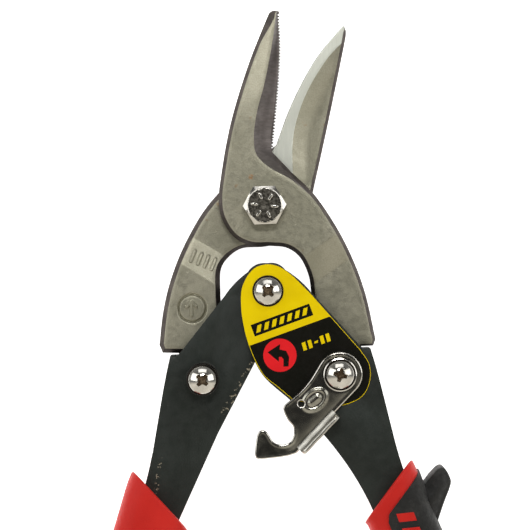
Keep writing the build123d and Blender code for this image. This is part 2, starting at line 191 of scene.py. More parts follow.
def from_rim(points, loop):
    """Distance of each point from a closed loop."""
    return away(points, np.vstack([loop, loop[:1]]))


def ramp(x, a, b):
    """0 up to a, 1 from b on, with a smooth step between them."""
    t = np.clip((np.asarray(x, float) - a) / (b - a), 0, 1)
    return t * t * (3 - 2 * t)


# ---- mesh building ---------------------------------------------------------------------------
def add_object(name, data):
    piece = bpy.data.objects.new(name, data)
    bpy.context.scene.collection.objects.link(piece)
    return piece


def make_piece(name, verts, faces, materials, body, node, paint=None, sharp=35):
    """A mesh piece from millimetre points, on its body, standing for its CAD node."""
    mesh = bpy.data.meshes.new(name)
    mesh.from_pydata([tuple(v) for v in np.asarray(verts, float) * MM], [], faces)
    for m in materials:
        mesh.materials.append(m)
    if paint is not None:
        mesh.polygons.foreach_set("material_index", np.array(paint, np.int32))
    bm = bmesh.new()
    bm.from_mesh(mesh)
    bmesh.ops.remove_doubles(bm, verts=bm.verts, dist=2e-6)
    bmesh.ops.dissolve_degenerate(bm, edges=bm.edges, dist=1e-6)
    bmesh.ops.recalc_face_normals(bm, faces=bm.faces)
    bm.to_mesh(mesh)
    bm.free()
    finish_piece(add_object(name, mesh), body, node, sharp)


def finish_piece(piece, body, node, sharp=35):
    mesh = piece.data
    mesh.shade_smooth()
    mesh.set_sharp_from_angle(angle=math.radians(sharp))
    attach(piece, body)
    if node:
        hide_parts(node)


def flat_cap(border, holes, features, step, extra):
    """Triangulates a plan region. Returns its points, its triangles and each border's point numbers.

    Each of `extra` is a (centre, radius, step) disc with a finer grid.
    """
    span_low, span_high = border.min(0), border.max(0)
    gx, gy = np.meshgrid(
        np.arange(span_low[0], span_high[0], step), np.arange(span_low[1], span_high[1], step * 0.87)
    )
    gx[::2] += step / 2
    grid = np.stack([gx.ravel(), gy.ravel()], 1)
    for centre, radius, fine in extra:
        n = int(radius / fine)
        u, v = np.meshgrid(np.arange(-n, n + 1) * fine, np.arange(-n, n + 1) * fine)
        patch = np.stack([u.ravel(), v.ravel()], 1) + np.array(centre)
        near = lengths(grid - centre) < radius
        grid = np.vstack([grid[~near], patch[lengths(patch - centre) < radius]])
    rings = [border] + holes
    keep = inside(grid, border)
    for h in holes:
        keep &= ~inside(grid, h)
    grid = grid[keep]
    for r in rings:
        grid = grid[from_rim(grid, r) > 0.4 * step]
    lines = []
    for f in features:
        run = []
        for p, good in zip([*f, None], [*inside(f, inset(border, 0.12)), False]):
            if good:
                run.append(p)
            else:
                if len(run) > 1:
                    lines.append(np.array(run))
                run = []
    for f in lines:
        grid = grid[away(grid, f) > 0.12]
    groups = rings + lines + [grid]
    starts = np.cumsum([0] + [len(g) for g in groups])
    edges = []
    for k, g in enumerate(rings + lines):
        n = len(g) if k < len(rings) else len(g) - 1
        edges += [(starts[k] + i, starts[k] + (i + 1) % len(g)) for i in range(n)]
    flat = [Vector(p) for p in np.vstack(groups)]
    result = delaunay_2d_cdt(flat, edges, [], 0, 1e-4, True)
    points = np.array([tuple(v) for v in result[0]])
    home = {s: i for i, sources in enumerate(result[3]) for s in sources}
    triangles = np.array([list(f) for f in result[2]])
    middle = points[triangles].mean(1)
    good = inside(middle, border)
    for h in holes:
        good &= ~inside(middle, h)
    triangles = triangles[good]
    ids = [[home[starts[k] + i] for i in range(len(r))] for k, r in enumerate(rings)]
    return points, triangles, ids


FOOT = 0.3  # most rounding of a plate's lower edges


def plate(name, body, node, loop, top, bottom, materials, step=0.6, features=(), holes=(),
          extra=(), edge=0.25, draft=0.0, paint=None, side=0, sharp=35):
    """Closed solid over a plan loop, between the height functions `bottom` and `top`.

    Its upper edges are rounded by `edge`, and its sides lean in by `draft` from half height up.
    """
    lean = inset(loop, np.broadcast_to(draft, (len(loop),)))
    tops = [inset(lean, edge)] + [inset(h, -edge) for h in holes]
    points, triangles, ids = flat_cap(tops[0], tops[1:], features, step, extra)
    count = len(points)
    verts = [np.column_stack([points, top(points)]), np.column_stack([points, bottom(points)])]
    faces = [tuple(t) for t in triangles] + [tuple(t[::-1] + count) for t in triangles]
    marks = list(paint(points[triangles].mean(1)) if paint else np.zeros(len(triangles), int))
    marks += [side] * len(triangles)
    total = 2 * count
    for k, base in enumerate([loop] + list(holes)):
        n = len(base)
        z_top, z_low = top(tops[k]), bottom(tops[k])
        edge_ring = lean if k == 0 else base
        layers = []
        for turn in (30, 60, 90):
            out = math.sin(math.radians(turn))
            drop = edge * (1 - math.cos(math.radians(turn)))
            layers.append((tops[k] + (edge_ring - tops[k]) * out, z_top - drop))
        layers.append((base, (z_top + z_low) / 2))
        foot = min(edge, FOOT)
        layers.append((base, z_low + foot))
        layers.append((base + (tops[k] - base) * 0.3, z_low + foot * 0.3))
        chain = [np.array(ids[k])]
        for plan, height in layers:
            verts.append(np.column_stack([plan, height]))
            chain.append(np.arange(total, total + n))
            total += n
        chain.append(np.array(ids[k]) + count)
        for upper, lower in zip(chain, chain[1:]):
            for i in range(n):
                j = (i + 1) % n
                faces.append((upper[i], lower[i], lower[j], upper[j]))
                marks.append(side)
    faces = [tuple(int(i) for i in f) for f in faces]
    make_piece(name, np.vstack(verts), faces, materials, body, node, marks, sharp)


def turned(name, body, node, at, rim, top, base, materials, paint, below=(), rings=40, around=144):
    """Round or hexagonal head: rim(angle) is its radius, top(x, y) its height, below its shank.

    paint gives each point of the crown its material.
    """
    angles = np.arange(around) * 2 * math.pi / around
    reach = rim(angles)
    ray = np.stack([np.cos(angles), np.sin(angles)], 1)
    verts = [[0, 0, float(top(np.zeros((1, 2)))[0])]]
    layers = []
    for k in range(1, rings + 1):
        plan = ray * (reach * k / rings)[:, None]
        layers.append(np.column_stack([plan, top(plan)]))
    layers.append(np.column_stack([ray * reach[:, None], np.full(around, base)]))
    for radius, height in below:
        layers.append(np.column_stack([ray * radius, np.full(around, height)]))
    for layer in layers:
        verts += layer.tolist()
    faces = [(0, 1 + i, 1 + (i + 1) % around) for i in range(around)]
    for k in range(len(layers) - 1):
        a, b = 1 + k * around, 1 + (k + 1) * around
        faces += [(a + i, b + i, b + (i + 1) % around, a + (i + 1) % around) for i in range(around)]
    last = 1 + (len(layers) - 1) * around
    faces.append(tuple(last + i for i in range(around)))
    verts = np.array(verts)
    middles = np.array([verts[list(f)].mean(0)[:2] for f in faces])
    marks = np.where(np.arange(len(faces)) < around * rings, paint(middles), 0)
    make_piece(name, verts + [at[0], at[1], 0], faces, materials, body, node, marks)


def ease(bm, edges, by, segments):
    bmesh.ops.bevel(
        bm, geom=edges, offset=by * MM, segments=segments, profile=0.5, affect="EDGES", clamp_overlap=True
    )


def cad_copy(name, body, node, material, edge, folds=(), fold_edge=1.6):
    """A CAD node's shape with its sharp edges eased, and the edges along `folds` rounded more."""
    mesh = nodes[node].data.copy()
    mesh.name = name
    mesh.materials.clear()
    mesh.materials.append(material)
    bm = bmesh.new()
    bm.from_mesh(mesh)
    bmesh.ops.remove_doubles(bm, verts=bm.verts, dist=2e-6)
    bmesh.ops.dissolve_limit(
        bm, angle_limit=math.radians(1), use_dissolve_boundaries=False, verts=bm.verts, edges=bm.edges
    )
    for run in folds:
        chosen = []
        for e in bm.edges:
            ends = np.array([v.co[:2] for v in e.verts]) / MM
            level = abs(e.verts[0].co.z - e.verts[1].co.z) < 1e-5
            if level and e.is_convex and e.calc_face_angle(0) > 0.9 and away(ends, run).max() < 0.12:
                chosen.append(e)
        ease(bm, chosen, fold_edge, 5)
    ease(bm, [e for e in bm.edges if e.calc_face_angle(0) > 0.6], edge, 2)
    bmesh.ops.recalc_face_normals(bm, faces=bm.faces)
    bm.to_mesh(mesh)
    bm.free()
    mesh.validate()
    finish_piece(add_object(name, mesh), body, node, 40)


# ---- materials -------------------------------------------------------------------------------
def tint(r, g, b):
    """Linear colour of an sRGB one in 0..255."""
    return [((c / 255 + 0.055) / 1.055) ** 2.4 if c > 10 else c / 3294.6 for c in (r, g, b)] + [1.0]


class Nodes:
    """Short calls for building one material's node tree."""

    def __init__(self, name):
        self.material = bpy.data.materials.new(name)
        self.material.use_nodes = True
        self.tree = self.material.node_tree
        self.shader = self.tree.nodes["Principled BSDF"]
        self.place = self.new("TexCoord").outputs["Object"]

    def new(self, kind):
        return self.tree.nodes.new("ShaderNode" + kind)

    def link(self, a, b):
        self.tree.links.new(a, b)

    def set(self, **values):
        for key, value in values.items():
            self.shader.inputs[key.replace("_", " ")].default_value = value

    def noise(self, scale, detail=3, rough=0.5, stretch=(1, 1, 1), turn=0.0):
        mapping = self.new("Mapping")
        mapping.inputs["Rotation"].default_value = (0, 0, math.radians(turn))
        mapping.inputs["Scale"].default_value = stretch
        self.link(self.place, mapping.inputs["Vector"])
        node = self.new("TexNoise")
        node.inputs["Scale"].default_value = scale
        node.inputs["Detail"].default_value = detail
        node.inputs["Roughness"].default_value = rough
        self.link(mapping.outputs["Vector"], node.inputs["Vector"])
        return node.outputs["Fac"]

    def spread(self, value, a, b, low=0.0, high=1.0):
        node = self.new("MapRange")
        node.interpolation_type = "SMOOTHSTEP"
        for key, v in (("From Min", a), ("From Max", b), ("To Min", low), ("To Max", high)):
            node.inputs[key].default_value = v
        self.link(value, node.inputs["Value"])
        return node.outputs["Result"]

    def distance(self, point):
        """Distance in metres from a point given in millimetres."""
        node = self.new("VectorMath")
        node.operation = "DISTANCE"
        self.link(self.place, node.inputs[0])
        node.inputs[1].default_value = [c * MM for c in point]
        return node.outputs["Value"]

    def beside(self, towards, offset, width):
        """1 on a slanting line in plan, falling to 0 at `width` metres from it."""
        node = self.new("VectorMath")
        node.operation = "DOT_PRODUCT"
        self.link(self.place, node.inputs[0])
        node.inputs[1].default_value = (*towards, 0)
        gap = self.math("ABSOLUTE", self.math("SUBTRACT", node.outputs["Value"], offset), 0)
        return self.spread(gap, 0.0, width, 1.0, 0.0)

    def math(self, how, a, b):
        node = self.new("Math")
        node.operation = how
        for socket, v in zip(node.inputs, (a, b)):
            if isinstance(v, (int, float)):
                socket.default_value = v
            else:
                self.link(v, socket)
        return node.outputs[0]

    def times(self, a, b):
        return self.math("MULTIPLY", a, b)

    def mix(self, fac, a, b):
        node = self.new("Mix")
        node.data_type = "RGBA"
        self.link(fac, node.inputs["Factor"])
        for key, v in (("A", a), ("B", b)):
            socket = [s for s in node.inputs if s.name == key and s.type == "RGBA"][0]
            if isinstance(v, list):
                socket.default_value = v
            else:
                self.link(v, socket)
        return [s for s in node.outputs if s.type == "RGBA"][0]

    def between(self, value, colour, shade, a=0.3, b=0.7):
        """Two colours that drift into each other."""
        return self.mix(self.spread(value, a, b), tint(*colour), tint(*shade))

    def bump(self, *layers):
        """Each layer is (height, distance in mm)."""
        normal = None
        for height, distance in layers:
            node = self.new("Bump")
            node.inputs["Distance"].default_value = distance * MM
            self.link(height, node.inputs["Height"])
            if normal:
                self.link(normal, node.inputs["Normal"])
            normal = node.outputs["Normal"]
        self.link(normal, self.shader.inputs["Normal"])

    def colour(self, socket):
        self.link(socket, self.shader.inputs["Base Color"])

    def rough(self, value, low, high, a=0.3, b=0.7):
        """Roughness that wanders between two values."""
        self.link(self.spread(value, a, b, low, high), self.shader.inputs["Roughness"])


def blasted_steel():
    """Forged steel after bead blasting: matt, finely pitted, with a few marks and spots."""
    m = Nodes("blasted_steel")
    base = m.between(m.noise(90, 4), (150, 148, 131), (168, 165, 148))
    grit = m.spread(m.noise(2600, 2), 0.35, 0.65)
    base = m.mix(m.times(grit, 0.35), base, tint(132, 129, 113))
    rust = m.times(m.spread(m.noise(260, 2), 0.70, 0.78), 0.6)
    spot = m.spread(m.distance((-3.7, 8.6, BLADE_TOP)), 0.0003, 0.0011, 0.75, 0.0)
    base = m.mix(m.times(spot, m.spread(m.noise(1500, 3), 0.35, 0.55)), base, tint(158, 112, 66))
    m.colour(m.mix(rust, base, tint(140, 112, 82)))
    m.set(Metallic=0.85)
    m.rough(m.noise(700, 3), 0.40, 0.52)
    pits = m.spread(m.noise(620, 1), 0.74, 0.80)
    m.bump((m.noise(2600, 3), 0.035), (m.noise(1100, 2), 0.02), (pits, -0.04))
    return m.material


def shaded_side_steel():
    """The forging's drafted sides: a darker, grey-purple copy of the steel, painted shade on faces turned
    away from the light.
    """
    m = Nodes("shaded_side_steel")
    base = m.between(m.noise(300, 4), (78, 73, 71), (96, 90, 86))
    m.colour(base)
    m.set(Metallic=0.8, Specular_Tint=(0.3, 0.29, 0.29, 1))
    m.rough(m.noise(800, 2), 0.42, 0.58)
    m.bump((m.noise(1600, 3), 0.06), (m.noise(500, 2, 0.5, (1, 1, 0.2)), 0.05))
    return m.material


def shaded_bevel_steel():
    """Ground bevel behind the cutting edge: a darker copy of the steel, painted shade on its sloping face,
    with fine grinding lines across it.
    """
    m = Nodes("shaded_bevel_steel")
    lines = m.noise(1500, 2, 0.6, (0.08, 1, 0.4), 12)
    base = m.between(m.noise(120, 3), (88, 83, 81), (104, 98, 96))
    m.colour(m.mix(m.times(m.spread(lines, 0.35, 0.65), 0.3), base, tint(72, 66, 65)))
    m.set(Metallic=0.85)
    m.rough(lines, 0.36, 0.5)
    m.bump((lines, 0.03), (m.noise(2200, 2), 0.02))
    return m.material


def ground_steel():
    """Finely ground strip along the rear blade's cutting edge."""
    m = Nodes("ground_steel")
    lines = m.noise(1900, 2, 0.6, (1, 0.06, 1), 35)
    base = m.between(m.noise(80, 3), (200, 203, 193), (212, 215, 206))
    m.colour(m.mix(m.times(m.spread(lines, 0.3, 0.7), 0.25), base, tint(178, 181, 170)))
    m.set(Metallic=0.35)
    m.rough(lines, 0.32, 0.46)
    m.bump((lines, 0.02))
    return m.material


def chrome(name, rough=0.09, mottle=0.05, base=(214, 211, 204)):
    """Bright plating over a slightly uneven pressing."""
    m = Nodes(name)
    cloud = m.spread(m.noise(210, 5, 0.65), 0.35, 0.7)
    m.colour(m.mix(cloud, tint(*base), tint(*(c - 26 for c in base))))
    m.set(Metallic=1.0)
    m.rough(m.noise(420, 4), rough, rough + 0.12, 0.35, 0.75)
    m.bump((m.noise(300, 3), mottle), (m.noise(1900, 2), mottle * 0.12))
    return m.material


def tarnish_and_shade(name, colour, shade):
    """Plating dulled in recesses, and a painted shade ring on round rims."""
    m = Nodes(name)
    m.colour(m.between(m.noise(1400, 3), colour, shade, 0.35, 0.65))
    m.set(Metallic=0.8, Specular_Tint=(0.3, 0.28, 0.25, 1))
    m.rough(m.noise(2200, 3), 0.34, 0.5)
    m.bump((m.noise(1700, 3), 0.05))
    return m.material


def zinc():
    """Zinc plate on the turned parts below."""
    m = Nodes("zinc_plate")
    m.colour(m.between(m.noise(350, 4), (176, 174, 164), (200, 198, 190)))
    m.set(Metallic=0.95)
    m.rough(m.noise(1200, 3), 0.28, 0.42)
    m.bump((m.noise(1800, 3), 0.03))
    return m.material


def spring_wire():
    """Drawn wire, with fine lines along the coils' axis."""
    m = Nodes("spring_wire")
    lines = m.noise(1500, 2, 0.5, (1, 1, 0.2))
    m.colour(m.between(lines, (92, 92, 90), (132, 131, 126)))
    m.set(Metallic=0.95)
    m.rough(lines, 0.28, 0.4)
    m.bump((lines, 0.02))
    return m.material


def worn_paint():
    """Satin black paint on pressed steel, scuffed, and chipped where the handles rub."""
    m = Nodes("worn_paint")
    base = m.between(m.noise(60, 4), (33, 37, 34), (44, 49, 46))
    chips = m.spread(m.noise(1050, 4, 0.7), 0.57, 0.61)
    parts = m.new("SeparateXYZ")
    m.link(m.place, parts.inputs[0])
    # chipped along the left handle's inner edge below the cover, and along its outer bend
    low_down = m.spread(parts.outputs["Y"], -0.046, -0.042, 1.0, 0.0)
    upper = m.spread(parts.outputs["Y"], -0.064, -0.058)
    inner_edge = m.times(m.beside((0.838, -0.546), 0.0210, 0.0016), m.times(low_down, upper))
    bend = m.times(m.beside((0.986, -0.165), -0.0210, 0.0011), low_down)
    patchy = m.spread(m.noise(90, 2), 0.40, 0.55)
    where = m.times(m.math("MAXIMUM", inner_edge, bend), patchy)
    wear = m.times(chips, m.spread(where, 0.15, 0.5))
    m.colour(m.mix(wear, base, tint(150, 142, 124)))
    m.rough(m.noise(500, 3), 0.36, 0.50)
    m.set(Specular_IOR_Level=0.26)
    m.bump((m.noise(1300, 2), 0.03), (m.noise(300, 2), 0.06), (wear, -0.05))
    return m.material


def film(name, colour, shade):
    """Printed film under a clear layer."""
    m = Nodes(name)
    m.colour(m.between(m.noise(120, 3), colour, shade))
    m.rough(m.noise(900, 2), 0.16, 0.24)
    m.set(Specular_IOR_Level=0.35, Coat_Weight=0.2, Coat_Roughness=0.1)
    m.bump((m.noise(700, 2), 0.02))
    return m.material


def red_plastic():
    """Moulded grip cores and bars."""
    m = Nodes("red_plastic")
    m.colour(m.between(m.noise(70, 3), (190, 36, 30), (203, 43, 36)))
    m.rough(m.noise(1400, 3), 0.42, 0.54)
    m.set(Specular_IOR_Level=0.16, Subsurface_Weight=0.05, Subsurface_Radius=(0.004, 0.001, 0.0006))
    m.bump((m.noise(1700, 3), 0.035), (m.noise(160, 2), 0.12))
    return m.material


def black_rubber():
    """Overmoulded grip skins, dusty in their pores."""
    m = Nodes("black_rubber")
    dust = m.spread(m.noise(260, 5, 0.65), 0.45, 0.8)
    m.colour(m.mix(dust, tint(27, 27, 26), tint(50, 50, 48)))
    m.rough(m.noise(900, 3), 0.55, 0.72)
    m.set(Specular_IOR_Level=0.28, Sheen_Weight=0.06, Sheen_Roughness=0.5)
    m.bump((m.noise(2100, 3), 0.07), (m.noise(500, 2), 0.05))
    return m.material


# ---- blades ----------------------------------------------------------------------------------
ARM_TURN = math.radians(57.4)  # each arm leaves the boss this far below the X axis
RAMP = (18.9, 27.3)  # the arms step between these distances from the main pivot
UNDER_RAMP = (16.9, 23.3)
TANG_R = 8.2
BORE_R = 3.25
BOLT_R = 4.0
NOTCH = 0.23  # quarter pitch of the serrations
SERRATION = 0.5  # depth of the serrations
GAP = 0.05  # half the play between the two blades' flat faces
EDGE_LAND = 0.9  # height of the cutting edge's own side
BEVEL_HOLLOW = 0.5  # how deep the bevel's hollow grind is
RIM = 0.13  # how far the land falls away beside the bevel
CROWN = 1.0  # width of the softened rim on every forged face


def along(points, side):
    """Distance from the main pivot along an arm; side is 1 for the right arm, -1 for the left."""
    return side * points[:, 0] * math.cos(ARM_TURN) - points[:, 1] * math.sin(ARM_TURN)


def stepped(points, side, span, before, beyond):
    """Height of a face that goes from `before` to `beyond` at an arm's step."""
    share = np.clip((along(points, side) - span[0]) / (span[1] - span[0]), 0, 1)
    return before + (beyond - before) * share


def across_arm(distance, side, reach=30):
    """Line across an arm at a distance from the main pivot."""
    out = np.array([side * math.cos(ARM_TURN), -math.sin(ARM_TURN)])
    aside = np.array([-out[1], out[0]])
    return line(out * distance - aside * reach, out * distance + aside * reach, step=0.5)


def softened(points, border, drop=0.2):
    """How far a forged face falls away at its rim."""
    d = from_rim(points, border)
    return drop * (1 - np.clip(d / CROWN, 0, 1)) ** 2


def front_blade(steel, shaded_side_steel, bevel):
    """Upper blade: serrated edge, hollow-ground bevel, flat land and its arm to the right."""
    cut = smooth([(3.0, 15.7), (3.4, 19.0), (4.6, 27.6), (5.8, 37.2), (6.6, 47.0), (6.5, 57.5)], NOTCH)
    teeth = cut.copy()
    teeth[2:-4:4, 0] -= SERRATION
    teeth[3:-3:4, 0] -= SERRATION
    tip = smooth([(6.5, 57.5), (5.5, 57.75), (4.4, 57.6), (3.6, 57.1), (3.1, 56.2)], 0.4)
    back = smooth([
        (3.1, 56.2), (1.8, 53.4), (-3.4, 41.4), (-9.2, 24.4), (-12.5, 9.5), (-13.5, 2.5), (-12.9, -3.0),
        (-9.4, -8.9), (-4.7, -11.5), (1.9, -12.0), (6.1, -12.7), (9.7, -15.4), (12.3, -21.2),
        (12.9, -26.3),
    ])
    tang = np.vstack([
        line((12.9, -26.3), (13.0, -40.0), RIGHT - (TANG_R, 0)), arc(RIGHT, TANG_R, 180, 360),
    ])
    shoulder = line(RIGHT + (TANG_R, 0), (27.2, -46.4), (27.1, -42.7), (30.6, -42.7), (31.4, -40.8))
    outer = smooth([
        (31.4, -40.8), (28.9, -27.2), (25.6, -16.9), (20.7, -6.6), (14.6, 3.0), (8.4, 9.6), (3.0, 15.7),
    ])
    loop = closed(teeth, tip, back, tang, shoulder, outer)
    ridge = smooth([
        (17.6, -2.2), (12.3, 3.7), (7.3, 7.9), (1.6, 11.3), (-1.9, 15.3), (-2.4, 20.4), (-1.2, 27.6),
        (1.4, 36.2), (4.3, 49.0), (5.6, 57.0),
    ], 0.5)
    foot = smooth([
        (20.0, 0.6), (12.0, 8.2), (8.0, 11.4), (3.9, 14.9), (2.6, 19.4), (3.8, 27.4), (5.1, 37.2),
        (6.0, 47.0), (6.15, 57.0),
    ], 0.5)
    beyond_ridge = np.vstack([ridge, [(5.6, 70), (60, 70), (60, -2.2)]])
    beyond_foot = np.vstack([foot, [(6.15, 70), (60, 70), (60, -2.2)]])
    draft = (1.0 + 0.9 * ramp(loop[:, 1], 48, 56)) * ramp(away(loop, cut), 0.4, 2.5)
    draft *= 1 - 0.5 * ramp(-loop[:, 1], 38, 44)
    rim = inset(loop, draft)
    low_z = SHEAR + EDGE_LAND

    def fall(p):
        """The jaw gets thinner towards its tip, and its nose is rounded off."""
        y = p[:, 1]
        slope, start, bend = 0.085, 25, 10
        eased = np.clip(y - start, 0, bend) ** 2 / (2 * bend)
        return slope * (eased + np.maximum(y - start - bend, 0)) + 0.5 * ramp(y, 52, 60)

    def top(p):
        z = stepped(p, 1, RAMP, BLADE_TOP, TANG_TOP) - softened(p, rim) - fall(p)
        land = ~inside(p, beyond_ridge)
        from_ridge = away(p, ridge)
        z = np.where(land, z - RIM * (1 - np.clip(from_ridge / 1.1, 0, 1)) ** 2, z)
        share = from_ridge / np.maximum(from_ridge + away(p, foot), 1e-6)
        crest = BLADE_TOP - RIM - fall(p)
        z = np.where(land, z, crest + (low_z - crest) * share - BEVEL_HOLLOW * np.sin(share * math.pi))
        return np.where(inside(p, beyond_foot) & ~land, low_z, z)

    def bottom(p):
        return stepped(p, 1, RAMP, SHEAR + GAP, TANG_BOTTOM)

    def paint(p):
        # the bevel past the ridge takes the darker bevel steel, painted shade
        return np.where(inside(p, beyond_ridge), 2, 0)

    # side=1 gives the drafted sides the darker side steel, painted shade
    plate(
        "front_blade_forging", "front_blade", "front_blade", loop, top, bottom,
        [steel, shaded_side_steel, bevel], step=0.5, edge=0.12, draft=draft, paint=paint, side=1,
        features=[ridge, foot, across_arm(RAMP[0], 1), across_arm(RAMP[1], 1)],
        holes=[circle(MAIN, BOLT_R), circle(RIGHT, BORE_R)], sharp=28,
    )


def grown(run):
    """The jaw's points moved out a little, as they lie below the height they were measured at."""
    return run + (run - LENS) * 0.008 * ramp(run[:, 1], 0, 20)[:, None]


MARK = np.array([-18.8, -15.4])  # raised bars on the left arm's ramp
MARK_TURN = -24
RING = np.array([-22.6, -29.5])  # pressed ring with an arrow in it
RING_R = 4.05


def arm_marks(p):
    """Generic marks on the left arm: four raised bars on its ramp, and an arrow in a pressed ring."""
    d = lengths(p - RING)
    z = -0.6 * np.exp(-((d - RING_R) / 0.3) ** 2)
    arrow = [(RING + (-0.2, -2.1), RING + (-0.2, 2.1)), (RING + (-1.6, 0.5), RING + (-0.2, 2.1)),
             (RING + (1.2, 0.5), RING + (-0.2, 2.1))]
    nearest = np.min([away(p, np.array(stroke)) for stroke in arrow], axis=0)
    z += 0.42 * (1 - ramp(nearest, 0.25, 0.6))
    c, s = math.cos(math.radians(MARK_TURN)), math.sin(math.radians(MARK_TURN))
    for shift in (-3.3, -1.1, 1.1, 3.3):
        middle = MARK + np.array([c, s]) * shift
        stroke = np.array([middle - np.array([-s, c]) * 1.6, middle + np.array([-s, c]) * 1.6])
        z += 0.42 * (1 - ramp(away(p, stroke), 0.28, 0.6))
    return z


def rear_blade(steel, shaded_side_steel, ground):
    """Lower blade: a ground strip along its edge, a hollow relief behind it and its arm to the left."""
    cut = smooth([(4.2, 18.0), (8.0, 27.3), (12.7, 36.3), (17.7, 43.9), (25.2, 52.1)], 0.5)
    tip = smooth([(25.2, 52.1), (25.9, 51.2), (26.0, 49.8), (25.5, 47.2)], 0.4)
    back = smooth([
        (25.5, 47.2), (22.5, 34.9), (18.9, 20.5), (14.5, 3.4), (12.6, -4.6), (7.4, -10.2), (0.0, -12.0),
        (-7.6, -12.4), (-11.6, -15.0), (-13.7, -18.2), (-14.2, -26.3),
    ])
    tang = np.vstack([line((-14.2, -26.3), (-13.6, -40.0), LEFT + (TANG_R, 0)), arc(LEFT, TANG_R, 0, -180)])
    shoulder = line(LEFT - (TANG_R, 0), (-27.2, -46.4), (-27.1, -42.7), (-31.9, -42.4), (-32.8, -40.0))
    outer = smooth([
        (-32.8, -40.0), (-31.3, -30.2), (-28.9, -21.4), (-24.6, -11.3), (-18.8, -1.6), (-13.4, 4.6),
        (-3.2, 13.6), (4.2, 18.0),
    ])
    cut, tip, back = grown(cut), grown(tip), grown(back)
    loop = closed(cut, tip, back, tang, shoulder, outer)
    strip = smooth([
        (25.6, 47.4), (24.4, 46.7), (22.8, 45.4), (19.3, 41.5), (13.9, 33.2), (10.2, 24.2), (8.9, 17.5),
        (8.7, 8.0),
    ], 0.5)
    strip = grown(strip)
    hollow = np.vstack([strip, [(8.7, -20), (60, -20), (60, 47.8)]])
    draft = (0.85 + 0.4 * ramp(-loop[:, 0], 8, 14)) * ramp(away(loop, cut), 0.4, 2.5)
    rim = inset(loop, draft)

    def top(p):
        z = stepped(p, -1, RAMP, SHEAR - GAP, TANG_TOP)
        z = z - softened(p, rim) * ramp(away(p, cut), 0.2, 3.0) * ramp(-p[:, 0], -9, -5)
        # the relief falls from the ground strip into a valley, and rises a little at the back
        d = away(p, strip)
        run_out = ramp(p[:, 1], -4.0, 7.0)
        steep = 0.46 * (1 - 0.6 * ramp(p[:, 1], 25, 45))
        easing = np.clip(d - 3, 0, 3)
        valley = 0.1 + steep * (np.minimum(d, 3) + easing - easing**2 / 6)
        rise = 0.45 * (1 - np.clip(away(p, back) / 2.2, 0, 1)) ** 2
        z = np.where(inside(p, hollow), z - run_out * (valley - rise), z)
        return z + arm_marks(p)

    def bottom(p):
        return stepped(p, -1, UNDER_RAMP, BLADE_BOTTOM, TANG_BOTTOM)

    def paint(p):
        ground_face = ~inside(p, hollow) & (p[:, 1] > 8) & (p[:, 0] > 0.5)
        return np.where(ground_face, 2, 0)

    # side=1 gives the drafted sides the darker side steel, painted shade
    plate(
        "rear_blade_forging", "rear_blade", "rear_blade", loop, top, bottom,
        [steel, shaded_side_steel, ground], step=0.5, edge=0.12, draft=draft, paint=paint, side=1,
        features=[strip, across_arm(RAMP[0], -1), across_arm(RAMP[1], -1)],
        holes=[circle(MAIN, BOLT_R), circle(LEFT, BORE_R)],
        extra=[(RING, 5.0, 0.2), (MARK, 5.0, 0.22)], sharp=28,
    )


# ---- screws and bolt -------------------------------------------------------------------------
HEAD_R = 4.6
LIP = 0.35  # steep band round a screw head's rim
FLANGE_R = 4.9
SHANK_R = 2.0


def dome_screw(name, body, node, at, cross_turn, flange, materials):
    """Domed head with a cross recess whose arms taper, on its shank."""
    crown = high(node)
    seat = crown - 2.5 - flange
    ball = 5.6

    def cross(p):
        u, v = np.abs(in_turned_axes(p, cross_turn))
        arm, reach = np.minimum(u, v), np.maximum(u, v)
        width = 0.56 - 0.06 * reach
        recess = (1 - ramp(arm, width - 0.12, width + 0.12)) * (1 - ramp(reach, 1.6, 2.1))
        return np.maximum(recess, 1 - ramp(u + v, 1.25, 1.7)) * (1 - 0.25 * np.clip(reach / 2.1, 0, 1))

    def top(p):
        r = lengths(p)
        z = crown - (ball - np.sqrt(ball**2 - np.minimum(r, HEAD_R - LIP) ** 2))
        z -= 2.2 * np.maximum(r - HEAD_R + LIP, 0)
        return z - 1.25 * cross(p)

    def paint(p):
        # the band round the head's rim takes a dark material, a painted shade ring
        rim = lengths(p) > HEAD_R - LIP - 0.3
        return np.where(cross(p) > 0.25, 1, np.where(rim, 2, 0))

    below = [(FLANGE_R, seat + flange), (FLANGE_R, seat)] if flange else [(HEAD_R, seat)]
    below += [(SHANK_R, seat), (SHANK_R, low(node))]
    turned(
        name, body, node, at, lambda a: np.full(len(a), HEAD_R), top, seat + flange + 0.1,
        materials, paint, below, rings=46,
    )


def hex_reach(across):
    """Radius of a hexagon with corners on the X axis."""
    return lambda a: across / 2 / np.cos((a % (math.pi / 3)) - math.pi / 6)


